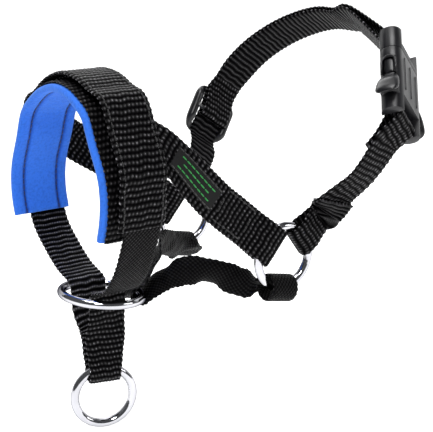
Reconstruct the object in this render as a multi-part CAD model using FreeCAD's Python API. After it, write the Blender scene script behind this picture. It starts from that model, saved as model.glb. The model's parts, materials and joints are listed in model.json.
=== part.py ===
"""Head halter for a dog: nose loop with a padded band, cheek straps, chin strap,
neck loop with a side-release buckle and a slider, and four welded steel rings.

Frame: millimetres, +Z up, -X towards the muzzle, +X towards the back of the head, -Y the dog's left.
The origin is halfway between the centres of the two cheek rings.
"""
import FreeCAD, Part
import math
import os

V = FreeCAD.Vector
X_AXIS, Y_AXIS, Z_AXIS = V(1, 0, 0), V(0, 1, 0), V(0, 0, 1)

# ---- webbing ----
WEB_W = 19.0            # nose, cheek and neck webbing width
WEB_T = 1.8             # its thickness
CHIN_W = 15.0           # chin strap width
CHIN_T = 1.6            # its thickness
CHIN_SLACK = 3.0        # how loosely the chin strap hangs round each cheek ring
GATHER_W = 16.0         # neck webbing width where it bunches in the ring
LEASH_FOLD_W = 15.0     # nose webbing width where it bunches in the leash ring
PLY_GAP = 0.12          # air between two plies that are sewn together
CLEAR = 0.3             # air between webbing and a ring, bar or buckle

# ---- rings ----
WIRE_D = 4.0            # wire of every ring
CHEEK_RING_OD = 33.2
CHIN_RING_OD = 41.0
LEASH_RING_OD = 32.0
RING_SPREAD = 84.0      # between the two cheek ring centres
CHIN_RING_AT = V(-73.0, 0, -15.5)
CHIN_RING_TILT = 7.0    # degrees, the back of the chin ring is lower

# ---- nose loop ----
NOSE_X = -75.0          # centre of the nose webbing
NOSE_HALF_W = 47.0      # widest half width of the loop
NOSE_TOP = 85.5         # height of the webbing over the nose
NOSE_LEAN = 4.0         # the loop stands this much to the dog's right
NOSE_ROLL = 0.12        # and is this much higher on the dog's left, per mm of width
LEG_HALF = 9.0          # half spacing of the two legs where the chin ring gathers them
LEASH_PIVOT_Z = -52.5   # top of the leash ring's centreline
LEG_YAW = -15.0         # degrees, the legs turn a little between the two rings
OVERLAY_END = 24.5      # height where the outer webbing stops on both sides
OVERLAY_W = 23.0        # the outer webbing is wider, and flush with the inner one at the rear
PAD_W = 28.5
PAD_T = 3.5
LINING_W = 26.5
LINING_T = 1.2
PAD_END_LEFT = 20.5     # heights of the pad's two ends
PAD_END_RIGHT = 12.5

# ---- cheek straps ----
CHEEK_ANGLE = 140.0     # where the cheek strap sits on its ring
CHEEK_RETURN = 44.0     # the folded-back ply ends this far from the ring centre
SEAM_LIFT = 0.45        # extra room at each face of the sewn-in end, as the webbing there is curved
SEAM_DEPTH = 10.0       # how far the strap goes in under the nose webbing, past its seam centre
LABEL_FROM, LABEL_TO = -60.5, -39.0     # where the label starts and ends along X
LABEL_W, LABEL_T = 10.5, 0.5

# ---- neck loop, in its own plane ----
NECK_PITCH = 55.0       # slope of the neck loop's plane
NECK_RING_ANGLE = 36.0  # where the neck straps sit on the cheek rings
BUCKLE_FOOT = (-71.0, 75.0)
BUCKLE_SLOPE = 55.0     # degrees of the buckle's axis above the Y axis, in the plane
BUCKLE_TWIST = 15.0     # degrees the buckle is turned about its own axis, out of the plane
SLIDER_AT = (63.2, 56.5)
SHORT_TAIL = 17.0
LONG_TAIL = 14.0

# ---- buckle ----
BUCKLE_W = 30.0
BUCKLE_T = 10.4
SOCKET_L = 34.5
HEAD_L = 11.5
SHELL_T = 2.1           # socket wall over the flat faces
SIDE_T = 3.0            # socket wall at the sides
BAR_R = 1.8
STRAP_SLOT_W = WEB_W + 1.6
SOCKET_BAR_Z = -32.4
HEAD_BAR_Z = 7.0
CAVITY_L = 23.0
WINDOW_TOP, WINDOW_BOTTOM = -5.5, -15.5
PRONG_L = 18.0
BLADE_W = 4.4
WING = 2.6              # how far the finger rests stand out from the socket's sides
BAR_LOOP = BAR_R + CLEAR + WEB_T / 2    # bend of the webbing round a bar

# ---- slider ----
SLIDER_L = 27.0
SLIDER_W = 27.4
SLIDER_RAIL = 3.0
SLIDER_BAR = 1.8
SLIDER_SHIFT = 0.9      # the webbing rides against the slider's rear rail

# ---- chin strap route ----
CHIN_ANGLE = -102.0     # where the chin strap sits on each cheek ring
CHIN_ROUTE = {          # places and width directions of the strap, from the chin ring to each cheek ring
    -1: [((-43.5, -4.8, -13.2), (0.35, 0.75, 0.5)), ((-36.0, -12.0, -8.5), (0.4, 0.0, 0.85)),
         ((-24.0, -19.5, -9.6), (0.4, -0.55, 0.7)), ((-13.0, -26.5, -14.3), (0.8, -0.2, 0.5))],
    1: [((-44.0, 5.0, -7.6), (0.45, -0.75, 0.4)), ((-34.0, 13.5, -2.0), (0.4, -0.3, 0.85)),
        ((-22.0, 21.5, -6.5), (0.5, -0.1, 0.85)), ((-11.0, 29.0, -12.5), (0.85, 0, 0.5))],
}

# ---- stitching ----
THREAD = 0.5
SEAM_INSET = 2.2        # distance of a seam from the webbing's edge
CHEEK_SEAM = (-38.0, -17.0)    # the folded-back ply is sewn down between these, along X
CHEEK_SEAM_STATIONS = 6

# ---- runs of webbing ----
EASE = 4.5              # the neck webbing turns over twice this length as it leaves a ring
STEP = 4.0              # spacing of the sections along a free run of webbing
DOWN = -Z_AXIS
LEFT_FACE = 1.0         # sign of the outer face's normal along the left cheek strap
OUTWARD = -1.0          # sign of the outward normal along the nose loop


def unit(vector):
    return vector.normalize() if vector.Length > 0 else vector


def lerp(a, b, t):
    return a + (b - a) * t


def smooth(t):
    t = max(0.0, min(1.0, t))
    return t * t * (3 - 2 * t)


# ---------------------------------------------------------------- ribbons
# A station is (centre, width direction, width).

def run_through(keys, step=STEP):
    """Smooth run of stations through the key stations."""
    knots = [0.0]
    for a, b in zip(keys, keys[1:]):
        knots.append(knots[-1] + (b[0] - a[0]).Length)
    slopes = []
    for i in range(len(keys)):
        lo, hi = max(0, i - 1), min(len(keys) - 1, i + 1)
        slopes.append((keys[hi][0] - keys[lo][0]) * (1.0 / (knots[hi] - knots[lo])))
    stations = []
    for i in range(len(keys) - 1):
        span = knots[i + 1] - knots[i]
        count = max(1, int(math.ceil(span / step)))
        for k in range(count):
            stations.append(between(keys[i], keys[i + 1], slopes[i], slopes[i + 1], span, k / count))
    stations.append(keys[-1])
    return stations


def between(first, last, slope_a, slope_b, span, t):
    """Cubic point between two key stations, at fraction t."""
    h00 = 2 * t**3 - 3 * t**2 + 1
    h10 = t**3 - 2 * t**2 + t
    h01 = -2 * t**3 + 3 * t**2
    h11 = t**3 - t**2
    point = first[0] * h00 + slope_a * (h10 * span) + last[0] * h01 + slope_b * (h11 * span)
    across = unit(lerp(first[1], last[1], smooth(t)))
    return point, across, lerp(first[2], last[2], smooth(t))


def tangents(stations):
    """Direction of travel at each station."""
    points = [s[0] for s in stations]
    out = []
    for i in range(len(points)):
        back = unit(points[i] - points[i - 1]) if i else V(0, 0, 0)
        ahead = unit(points[i + 1] - points[i]) if i + 1 < len(points) else V(0, 0, 0)
        out.append(unit(back + ahead))
    return out


def corners_of(station, along, thickness):
    """Four corners of the webbing's section at one station."""
    point, across, width = station
    normal = unit(along.cross(across))
    across = unit(normal.cross(along))
    side, up = across * (width / 2), normal * (thickness / 2)
    return [point - side - up, point + side - up, point + side + up, point - side + up]


def facet(points):
    return Part.Face(Part.makePolygon(points + points[:1]))


def ribbon(stations, thickness):
    """Closed flat-faced solid of webbing along the stations."""
    sections = [corners_of(s, t, thickness) for s, t in zip(stations, tangents(stations))]
    faces = [facet(sections[0]), facet(sections[-1])]
    for a, b in zip(sections, sections[1:]):
        for i in range(4):
            j = (i + 1) % 4
            faces.append(facet([a[i], a[j], b[j]]))
            faces.append(facet([a[i], b[j], b[i]]))
    shell = Part.makeShell(faces)
    shell.sewShape()
    solid = Part.makeSolid(shell)
    return solid if solid.Volume > 0 else solid.reversed()


def shifted(stations, offset):
    """The same run moved along its own normal; offset is a length or a function of the point."""
    out = []
    for (point, across, width), along in zip(stations, tangents(stations)):
        normal = unit(along.cross(across))
        amount = offset(point) if callable(offset) else offset
        out.append((point + normal * amount, across, width))
    return out


def resized(stations, width, shift=0.0):
    """The same run with another width, moved sideways across the webbing."""
    return [(p + a * shift, a, width) for p, a, w in stations]


# ---------------------------------------------------------------- folds round a ring
def ring_reach(outer_d, width):
    """How far inside the ring's centreline a flat fold of this width has to lie."""
    centre_r = (outer_d - WIRE_D) / 2
    inner_r = outer_d / 2 - WIRE_D - CLEAR
    return centre_r - math.sqrt(inner_r**2 - (width / 2)**2)


def radial_fold(centre, angle, width, outer_d, side, open_r, tail_r=None, thickness=WEB_T):
    """Stations of a strap that comes in radially on one side of a ring, goes through it, and
    returns on the other side. The ring's axis is Y and side is the sign of the incoming ply."""
    a = math.radians(angle)
    radial = V(math.cos(a), 0, math.sin(a))
    across = V(math.sin(a), 0, -math.cos(a))
    centre_r = (outer_d - WIRE_D) / 2
    half = WIRE_D / 2 + CLEAR + thickness / 2
    turn_r = centre_r - ring_reach(outer_d, width) + WIRE_D / 2 + CLEAR
    rest = (thickness + PLY_GAP) / 2

    def at(r, offset, w):
        return centre + radial * r + Y_AXIS * (side * offset), across, w

    knee = centre_r + WIRE_D / 2
    inward = [at(open_r, rest, width), at(lerp(open_r, knee, 0.55), lerp(rest, half, 0.5), width),
              at(knee, half, width)]
    turn = []
    for k in range(9):
        phi = math.radians(k * 22.5)
        turn.append(at(turn_r - half * math.sin(phi), half * math.cos(phi), width))
    outward = [at(r, -o, w) for r, o, w in
               ((knee, half, width), (lerp(open_r, knee, 0.55), lerp(rest, half, 0.5), width),
                (open_r, rest, width))]
    if tail_r:
        outward += [at(lerp(open_r, tail_r, 0.5), -rest, width), at(tail_r, -rest, width)]
    return inward + turn, outward


def sewn_tail(free, side, length):
    """Stations of a short ply that lies against the start of a strap's free run."""
    near = shifted(free, side * (WEB_T + PLY_GAP))
    return [s for s in near[1:] if (s[0] - near[0][0]).Length < length]


def eased(inward, run):
    """Station just outside a ring's fold, half turned from the fold towards the strap's free run."""
    end, before = inward[0], inward[1]
    return end[0] + unit(unit(end[0] - before[0]) + run) * EASE, end[1], end[2]


# ---------------------------------------------------------------- nose loop
def skewed(y, z):
    """Stand the loop a little to the right and roll it, fading out towards the chin ring."""
    w = smooth((z - CHIN_RING_AT.z) / 34.0)
    return y + w * NOSE_LEAN, z - w * NOSE_ROLL * y


def nose_side(sign):
    """Key stations of one side of the nose webbing, from the top down to below the chin ring."""
    h = NOSE_HALF_W
    outline = [(h * 0.26, NOSE_TOP - 1.9), (h * 0.49, NOSE_TOP - 6.8),
               (h * 0.68, NOSE_TOP - 13.5), (h * 0.818, NOSE_TOP - 26.2), (h * 0.956, NOSE_TOP - 39.0),
               (h, 36.0), (h - 1.0, 25.0), (h - 5.5, 13.0), (h - 14.5, 1.5), (h - 25.0, -7.0),
               (LEG_HALF + 0.9, -11.6), (LEG_HALF, -16.0), (LEG_HALF - 1.2, -24.0)]
    keys = []
    for y, z in outline:
        yy, zz = skewed(sign * y, z)
        keys.append((V(NOSE_X, yy, zz), X_AXIS, WEB_W))
    return keys


def leg_turn():
    """Yawed directions of the two legs at the leash ring: across the webbing, and from left to right."""
    a = math.radians(LEG_YAW)
    return V(math.cos(a), math.sin(a), 0), V(-math.sin(a), math.cos(a), 0)


def leash_top():
    return V(NOSE_X + 1.5, 0, LEASH_PIVOT_Z)


def leg_keys(sign):
    """Key stations of one leg between the chin ring and the leash ring."""
    across, apart = leg_turn()
    out = apart * (sign * leash_fold_radius())
    return [(leash_top() + out * 1.06 + Z_AXIS * 18, across, WEB_W),
            (leash_top() + out + Z_AXIS * 6, across, lerp(WEB_W, LEASH_FOLD_W, 0.6)),
            (leash_top() + out, across, LEASH_FOLD_W)]


def leash_fold_radius():
    return ring_reach(LEASH_RING_OD, LEASH_FOLD_W) + WEB_T / 2


def loop_run():
    """Both legs and the arch over the nose, from the left of the leash ring round to its right."""
    apex = (V(NOSE_X, *skewed(0, NOSE_TOP)), X_AXIS, WEB_W)
    return run_through(list(reversed(nose_side(-1) + leg_keys(-1))) + [apex] + nose_side(1) + leg_keys(1))


def nose_stations():
    """The whole webbing: its ends meet under the outer webbing, over the nose."""
    across, apart = leg_turn()
    radius = leash_fold_radius()
    run = loop_run()
    top = max(range(len(run)), key=lambda i: run[i][0].z)
    gap = Y_AXIS * (CLEAR / 2)
    left = run[:top] + [(run[top][0] - gap, X_AXIS, WEB_W)]
    right = [(run[top][0] + gap, X_AXIS, WEB_W)] + run[top + 1:]
    fold = []
    for k in range(1, 12):
        phi = math.radians(k * 15)
        point = leash_top() + apart * (radius * math.cos(phi)) + DOWN * (radius * math.sin(phi))
        fold.append((point, across, LEASH_FOLD_W))
    return right + fold + left


def above(stations, left_z, right_z):
    return [s for s in stations if s[0].z > (left_z if s[0].y < 0 else right_z)]


def seam_centre(sign):
    """Middle of the straight stretch where the cheek strap is sewn in, and the webbing's direction there."""
    low, high = nose_side(sign)[4][0], nose_side(sign)[2][0]
    return lerp(low, high, 0.5), unit(high - low)


def outer_lift(point):
    """Distance of the outer webbing from the inner one; it rises over the sewn-in cheek strap."""
    sign = 1 if point.y > NOSE_LEAN else -1
    centre, along = seam_centre(sign)
    off = abs((point - centre).dot(along))
    flat = WEB_T + PLY_GAP
    return flat + (flat + 2 * SEAM_LIFT) * (1 - smooth((off - 15.0) / 9.0))


def nose_band():
    run = loop_run()
    outer = above(run, OVERLAY_END, OVERLAY_END)
    padded = above(run, PAD_END_LEFT, PAD_END_RIGHT)
    lining_in = WEB_T / 2 + PLY_GAP + LINING_T / 2
    pad_in = lining_in + LINING_T / 2 + PLY_GAP + PAD_T / 2
    back = WEB_W / 2
    return {
        "nose_strap": ribbon(nose_stations(), WEB_T),
        "nose_overlay": ribbon(resized(shifted(outer, lambda p: OUTWARD * outer_lift(p)), OVERLAY_W,
                                       back - OVERLAY_W / 2), WEB_T),
        "nose_pad_lining": ribbon(resized(shifted(padded, -OUTWARD * lining_in), LINING_W,
                                          back - LINING_W / 2), LINING_T),
        "nose_pad": ribbon(resized(shifted(padded, -OUTWARD * pad_in), PAD_W, back - PAD_W / 2), PAD_T),
    }




# ---------------------------------------------------------------- cheek straps
def cheek_stations(sign):
    """One cheek strap, from its sewn end to the ring and back; sign is -1 on the dog's left."""
    centre, along = seam_centre(sign)
    outward = V(0, sign * along.z, -sign * along.y)
    a = math.radians(CHEEK_ANGLE)
    to_ring = X_AXIS * -math.cos(a) - along * math.sin(a)
    across = X_AXIS * math.sin(a) - along * math.cos(a)
    sewn = centre + outward * (WEB_T + PLY_GAP + SEAM_LIFT) + X_AXIS * (WEB_W / 2 - 6.5)
    ring = V(0, sign * RING_SPREAD / 2, 0)
    inward, outgoing = radial_fold(ring, CHEEK_ANGLE, WEB_W, CHEEK_RING_OD, sign, 26.0, CHEEK_RETURN)
    start = [(sewn - to_ring * SEAM_DEPTH, across, WEB_W), (sewn, across, WEB_W),
             (sewn + to_ring * 13.0, across, WEB_W)]
    end_dir = unit(inward[0][0] - ring)
    approach = [(inward[0][0] + V(end_dir.x, 0, end_dir.z) * d, inward[0][1], WEB_W) for d in (26.0, 12.0)]
    free = run_through(start + approach + inward[:1])
    return free + inward[1:] + outgoing


def label():
    """Plain woven label on the outside of the left cheek strap."""
    under = [s for s in cheek_stations(-1)[:24] if LABEL_FROM < s[0].x < LABEL_TO]
    return ribbon(resized(shifted(under, LEFT_FACE * (WEB_T + LABEL_T + 2 * PLY_GAP) / 2), LABEL_W), LABEL_T)


def block(centre, along, across, length, width, height):
    """Box with its length, width and height along the given directions."""
    normal = unit(along.cross(across))
    across = unit(normal.cross(along))
    along, half_l, half_w = unit(V(along)), length / 2, width / 2
    base = centre - normal * (height / 2)
    corners = [base - along * half_l - across * half_w, base + along * half_l - across * half_w,
               base + along * half_l + across * half_w, base - along * half_l + across * half_w]
    return Part.Face(Part.makePolygon(corners + corners[:1])).extrude(normal * height)


# ---------------------------------------------------------------- rings
def ring(centre, outer_d, axis):
    return Part.makeTorus((outer_d - WIRE_D) / 2, WIRE_D / 2, centre, axis)


def rings():
    half = RING_SPREAD / 2
    tilt = math.radians(CHIN_RING_TILT)
    hang = (LEASH_RING_OD - WIRE_D) / 2
    return {
        "cheek_ring_left": ring(V(0, -half, 0), CHEEK_RING_OD, Y_AXIS),
        "cheek_ring_right": ring(V(0, half, 0), CHEEK_RING_OD, Y_AXIS),
        "chin_ring": ring(CHIN_RING_AT, CHIN_RING_OD, V(math.sin(tilt), 0, math.cos(tilt))),
        "leash_ring": ring(leash_top() + DOWN * hang, LEASH_RING_OD, leg_turn()[1]),
    }


# ---------------------------------------------------------------- chin strap
def chin_loop(sign):
    """Stations of the loop round the bottom of one cheek ring: lower ply, round the wire, upper ply."""
    a = math.radians(CHIN_ANGLE)
    radial, across = V(math.cos(a), 0, math.sin(a)), V(-math.sin(a), 0, math.cos(a))
    centre_r = (CHEEK_RING_OD - WIRE_D) / 2
    wire = V(0, sign * RING_SPREAD / 2, 0) + radial * centre_r
    low = WIRE_D / 2 + CLEAR + CHIN_T / 2 + CHIN_SLACK
    high = ring_reach(CHEEK_RING_OD, CHIN_W) + CHIN_T / 2
    middle, radius = (high - low) / 2, (high + low) / 2
    inner = Y_AXIS * -sign

    def at(inside, up):
        return wire - radial * up + inner * inside, across, CHIN_W

    rest = (CHIN_T + PLY_GAP) / 2
    turn = [at(-radius * math.sin(math.radians(k * 22.5)), middle - radius * math.cos(math.radians(k * 22.5)))
            for k in range(9)]
    lower = [at(9.0, middle - rest), at(4.5, middle - lerp(rest, radius, 0.65))]
    upper = [at(4.5, middle + lerp(rest, radius, 0.65)), at(9.0, middle + rest)]
    return lower, turn, upper


def chin_side(sign, depth):
    """Free run from the back of the chin ring to one cheek ring; depth is its height at the chin ring."""
    rear = CHIN_RING_AT.x + (CHIN_RING_OD - WIRE_D) / 2
    start = chin_loop(sign)[0][0][0]
    route = CHIN_ROUTE[sign]
    return [(V(rear + 1.0, 0, depth), Y_AXIS * -sign, CHIN_W)] + \
        [(V(*place), unit(V(*across)), CHIN_W) for place, across in route] + \
        [(start, chin_loop(sign)[0][0][1], CHIN_W)]


def chin_fold():
    """Round the back of the chin ring: under the wire from the left, inside the ring, and out above."""
    tilt = math.radians(CHIN_RING_TILT)
    centre_r = (CHIN_RING_OD - WIRE_D) / 2
    wire = CHIN_RING_AT + V(math.cos(tilt), 0, -math.sin(tilt)) * centre_r
    half = WIRE_D / 2 + 2 * CLEAR + CHIN_T / 2
    inner_x = wire.x - ring_reach(CHIN_RING_OD, CHIN_W) + WIRE_D / 2 + 2 * CLEAR
    out = [(V(wire.x + 1.0, 0, wire.z - half), Y_AXIS, CHIN_W)]
    for k in range(9):
        phi = math.radians(k * 22.5)
        out.append((V(inner_x - half * math.sin(phi), 0, wire.z - half * math.cos(phi)), Y_AXIS, CHIN_W))
    out.append((V(wire.x + 1.0, 0, wire.z + half), Y_AXIS, CHIN_W))
    return out


def chin_strap():
    """One strap from the left cheek ring, through the chin ring, to the right cheek ring."""
    fold = chin_fold()
    left = run_through(list(reversed(chin_side(-1, fold[0][0].z))))
    right = run_through(chin_side(1, fold[-1][0].z))
    loops = []
    for sign in (-1, 1):
        lower, turn, upper = chin_loop(sign)
        loops.append(lower[1:] + turn + upper)
    start = list(reversed(loops[0]))
    return ribbon(start + left[:-1] + fold + flipped(right[1:]) + flipped(loops[1]), CHIN_T)


def flipped(stations):
    return [(p, a * -1, w) for p, a, w in stations]


# ---------------------------------------------------------------- neck loop
def turned(across, along, degrees):
    """A width direction turned about the webbing's own direction."""
    a = math.radians(degrees)
    return across * math.cos(a) + along.cross(across) * math.sin(a)


def in_plane(y, up):
    """Point of the neck loop's plane, given across the head and up the plane."""
    a = math.radians(NECK_PITCH)
    return V(up * math.cos(a), y, up * math.sin(a))


def neck_across():
    a = math.radians(NECK_PITCH)
    return V(math.sin(a), 0, -math.cos(a))


def buckle_axis():
    a = math.radians(BUCKLE_SLOPE)
    return in_plane(math.cos(a), math.sin(a))


def buckle_across():
    """Direction across the webbing at the buckle, the neck loop's own turned about the buckle's axis."""
    return turned(neck_across(), buckle_axis(), BUCKLE_TWIST)


def buckle_place():
    """Buckle frame: x across the webbing, y out from the neck, z along the buckle from socket to plug."""
    across, along = buckle_across() * -1, buckle_axis()
    out = along.cross(across)
    origin = in_plane(*BUCKLE_FOOT) + along * SOCKET_L
    matrix = FreeCAD.Matrix(across.x, out.x, along.x, origin.x, across.y, out.y, along.y, origin.y,
                            across.z, out.z, along.z, origin.z, 0, 0, 0, 1)
    return FreeCAD.Placement(matrix)


def placed(shape, placement):
    moved = shape.copy()
    moved.Placement = placement.multiply(moved.Placement)
    return moved


def square_to(direction, across):
    """Unit vector of the direction's part that is square to another."""
    return unit(direction - across * direction.dot(across))


def bar_point(bar_z):
    return buckle_place().multVec(V(0, 0, bar_z))


def bar_turn(centre, leave, radius, turn_sign):
    """Stations round a buckle bar; both plies leave along one direction."""
    across = buckle_across()
    leave = square_to(leave, across)
    side = leave.cross(across) * turn_sign
    out = []
    for k in range(9):
        phi = math.radians(k * 22.5)
        point = centre + side * (radius * math.cos(phi)) - leave * (radius * math.sin(phi))
        out.append((point, across, WEB_W))
    return out




def neck_short():
    """Doubled strap from the left cheek ring to the buckle socket."""
    ring_centre = V(0, -RING_SPREAD / 2, 0)
    inward, outgoing = radial_fold(ring_centre, NECK_RING_ANGLE, GATHER_W, CHEEK_RING_OD, -1, 25.0)
    bar = bar_point(SOCKET_BAR_Z)
    below = in_plane(-67.5, 56.0)
    leave = unit(below - bar)
    turn = bar_turn(bar, leave, BAR_LOOP, 1)
    rest = (WEB_T + PLY_GAP) / 2
    across = buckle_across()
    leave = square_to(leave, across)
    side = leave.cross(across)
    last = turn[0][0] + leave * 12.0 + side * (rest - BAR_LOOP)
    run = unit(below - inward[0][0])
    nearly_flat = (GATHER_W + 3 * WEB_W) / 4
    keys = [inward[0], eased(inward, run),
            (in_plane(-54.5, 33.5) + side * rest, turned(neck_across(), run, 8.0), nearly_flat),
            (in_plane(-63.0, 47.0) + side * rest, turned(neck_across(), run, 15.0), WEB_W),
            (last, across, WEB_W)]
    tail_start = turn[-1][0] + leave * 12.0 - side * (rest - BAR_LOOP)
    tail = [turn[-1], (tail_start, across, WEB_W), (tail_start + leave * 8.0, across, WEB_W)]
    middle = (lerp(last, turn[0][0], 0.5), across, WEB_W)
    free = run_through(keys)
    outgoing += sewn_tail(free, -1, SHORT_TAIL)
    return list(reversed(outgoing)) + list(reversed(inward[1:])) + free[:-1] \
        + [keys[-1], middle] + turn + [(lerp(turn[-1][0], tail_start, 0.5), across, WEB_W)] + tail[1:]


def neck_long():
    """Strap from the slider's middle bar to the plug, back through the slider, and down to the right ring."""
    across = neck_across()
    bar = bar_point(HEAD_BAR_Z + CLEAR)
    arch = [(-14.0, 120.2), (0.0, 123.0), (14.0, 122.6), (28.5, 118.0), (43.0, 109.6), (55.0, 98.0),
            (61.8, 85.0)]
    reach = in_plane(*arch[0]) - bar
    leave = square_to(reach, buckle_across())
    rest = (WEB_T + PLY_GAP) / 2
    turn = bar_turn(bar, leave, BAR_LOOP, 1)
    ring_centre = V(0, RING_SPREAD / 2, 0)
    inward, outgoing = radial_fold(ring_centre, NECK_RING_ANGLE, GATHER_W, CHEEK_RING_OD, 1, 22.5)
    slider = in_plane(*SLIDER_AT)
    down = slider_axis()
    out = down.cross(across) * -1
    keys = [(in_plane(*p), across, WEB_W) for p in arch]
    entry = slider - down * 14.5
    keys[0] = (bar + leave * reach.Length, buckle_across(), WEB_W)
    outer = [turn[0]] + shifted(keys, rest) + [(entry, across, WEB_W)]
    inner = [turn[-1]] + shifted(keys, -rest) + [(entry - out * (WEB_T + PLY_GAP), across, WEB_W)]
    ply = WEB_T + PLY_GAP
    hook_low = -(CLEAR + WEB_T / 2 + SLIDER_BAR + CLEAR + WEB_T / 2)
    hook = [(slider - down * 6.5 + out * lerp(-ply, hook_low, 0.6), across, WEB_W),
            (slider - down * 1.5 + out * hook_low, across, WEB_W),
            (slider + down * 1.2 + out * hook_low, across, WEB_W),
            (slider + down * 2.6 + out * (hook_low + 0.9), across, WEB_W),
            (slider + down * 2.9 + out * (-WEB_T / 2 - CLEAR), across, WEB_W)]
    below = [(slider + down * 14.5, across, WEB_W), (in_plane(56.5, 39.0), across, WEB_W),
             (in_plane(50.0, 28.5), unit(lerp(across, inward[0][1], 0.5)), 17.5),
             eased(inward, unit(in_plane(50.0, 28.5) - inward[0][0])), inward[0]]
    inner_ply = list(reversed(hook)) + list(reversed(run_through(inner)))
    free = run_through(below)
    outgoing += sewn_tail(list(reversed(free)), 1, LONG_TAIL)
    outer_ply = run_through(outer) + [(slider, across, WEB_W)] + free
    return inner_ply[:-1] + list(reversed(turn)) + outer_ply[1:] + inward[1:] + outgoing


def slider_axis():
    """Direction of the webbing through the slider, towards the right cheek ring."""
    return unit(in_plane(61.5, 48.0) - in_plane(65.0, 66.0))


def slider():
    """Flat frame with two end bars outside the webbing and a middle bar inside it."""
    down, across = slider_axis(), neck_across()
    out = down.cross(across) * -1
    centre = in_plane(*SLIDER_AT) - across * SLIDER_SHIFT
    gap = WEB_T / 2 + CLEAR
    height = 2 * (gap + SLIDER_BAR)
    rail_at = SLIDER_W / 2 - SLIDER_RAIL / 2
    body = None
    for side in (-1, 1):
        rail = block(centre + across * (side * rail_at), down, across, SLIDER_L, SLIDER_RAIL, height * 0.8)
        body = rail if body is None else body.fuse(rail)
    for shift, level in ((-1, 1), (0, -1), (1, 1)):
        place = centre + down * (shift * (SLIDER_L / 2 - 2.0)) + out * (level * (gap + SLIDER_BAR / 2))
        width = 2.6 if shift == 0 else 4.0
        body = body.fuse(block(place, down, across, width, SLIDER_W - SLIDER_RAIL, SLIDER_BAR))
    return body.removeSplitter()


# ---------------------------------------------------------------- buckle
def box_between(x0, x1, y0, y1, z0, z1):
    return Part.makeBox(x1 - x0, y1 - y0, z1 - z0, V(x0, y0, z0))


def rounded_bar(half_w, half_t, z0, z1, round_r):
    body = box_between(-half_w, half_w, -half_t, half_t, z0, z1)
    edges = [e for e in body.Edges if abs(e.tangentAt(e.FirstParameter).z) > 0.9]
    return body.makeFillet(round_r, edges)


def buckle_socket():
    w, t = BUCKLE_W / 2, BUCKLE_T / 2
    body = rounded_bar(w, t, -SOCKET_L, 0, t - 0.6)
    cavity = box_between(-w + SIDE_T, w - SIDE_T, -t + SHELL_T, t - SHELL_T, -CAVITY_L, 1)
    window = box_between(-w - 1, w + 1, -t + SHELL_T, t - SHELL_T, WINDOW_BOTTOM, WINDOW_TOP)
    slot = box_between(-STRAP_SLOT_W / 2, STRAP_SLOT_W / 2, -t - 1, t + 1, -SOCKET_L - 1, -CAVITY_L - 2.5)
    bar = Part.makeCylinder(BAR_R, BUCKLE_W - 6, V(-w + 3, 0, SOCKET_BAR_Z), X_AXIS)
    wing = [V(w - 2, -4.2, WINDOW_BOTTOM - 1.5), V(w + WING, -4.2, WINDOW_BOTTOM - 6.5),
            V(w + WING * 0.8, -4.2, WINDOW_BOTTOM - 9.5), V(w - 2, -4.2, WINDOW_BOTTOM - 11.5)]
    flare = facet(wing).extrude(V(0, 8.4, 0))
    body = body.fuse(flare).fuse(flare.mirror(V(0, 0, 0), X_AXIS))
    return body.cut(cavity).cut(window).cut(slot).fuse(bar).removeSplitter()


def buckle_plug():
    w, t = BUCKLE_W / 2, BUCKLE_T / 2
    body = rounded_bar(w, t, 0, HEAD_L, t - 0.6)
    slot = box_between(-STRAP_SLOT_W / 2, STRAP_SLOT_W / 2, -t - 1, t + 1, 2.6, HEAD_L + 1)
    bar = Part.makeCylinder(BAR_R, BUCKLE_W - 6, V(-w + 3, 0, HEAD_BAR_Z), X_AXIS)
    blade = box_between(-BLADE_W / 2, BLADE_W / 2, -2.2, 2.2, -CAVITY_L + 4, 0)
    return body.cut(slot).fuse(bar).fuse(blade).removeSplitter().translated(V(0, 0, CLEAR))


def prong(sign):
    """Springy arm of the plug with the catch that shows in the socket's side window."""
    thick = BUCKLE_T / 2 - SHELL_T - CLEAR
    inner, outer = 7.4, BUCKLE_W / 2 - SIDE_T - 0.9
    arm = box_between(inner, outer, -thick, thick, -PRONG_L, -CLEAR)
    catch = box_between(outer - 0.5, BUCKLE_W / 2 - 0.8, -thick, thick, WINDOW_BOTTOM + 1.0, WINDOW_TOP - 0.6)
    edges = [e for e in catch.Edges if e.BoundBox.XMin > outer and abs(e.tangentAt(e.FirstParameter).x) < 0.1]
    body = arm.fuse(catch.makeFillet(1.4, edges)).removeSplitter()
    if sign < 0:
        body = body.mirror(V(0, 0, 0), X_AXIS)
    return body


def buckle():
    place = buckle_place()
    pieces = {"buckle_socket": buckle_socket(), "buckle_plug": buckle_plug(),
              "prong_left": prong(1), "prong_right": prong(-1)}
    return {name: placed(shape, place) for name, shape in pieces.items()}


# ---------------------------------------------------------------- stitching
def seam_line(stations, face, offset):
    """Line of thread along one face of the webbing, offset sideways from its middle."""
    lift = face * (WEB_T + THREAD + 2 * PLY_GAP) / 2
    return ribbon(resized(shifted(stations, lift), THREAD, offset), THREAD)


def seam_bar(stations, index, face):
    """Line of thread across one face of the webbing at one station."""
    centre, across, width = stations[index]
    along = tangents(stations)[index]
    middle = centre + unit(along.cross(across)) * (face * (WEB_T + THREAD + 2 * PLY_GAP) / 2)
    return block(middle, along, across, THREAD, width - 2 * SEAM_INSET - 2 * THREAD, THREAD)


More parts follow.
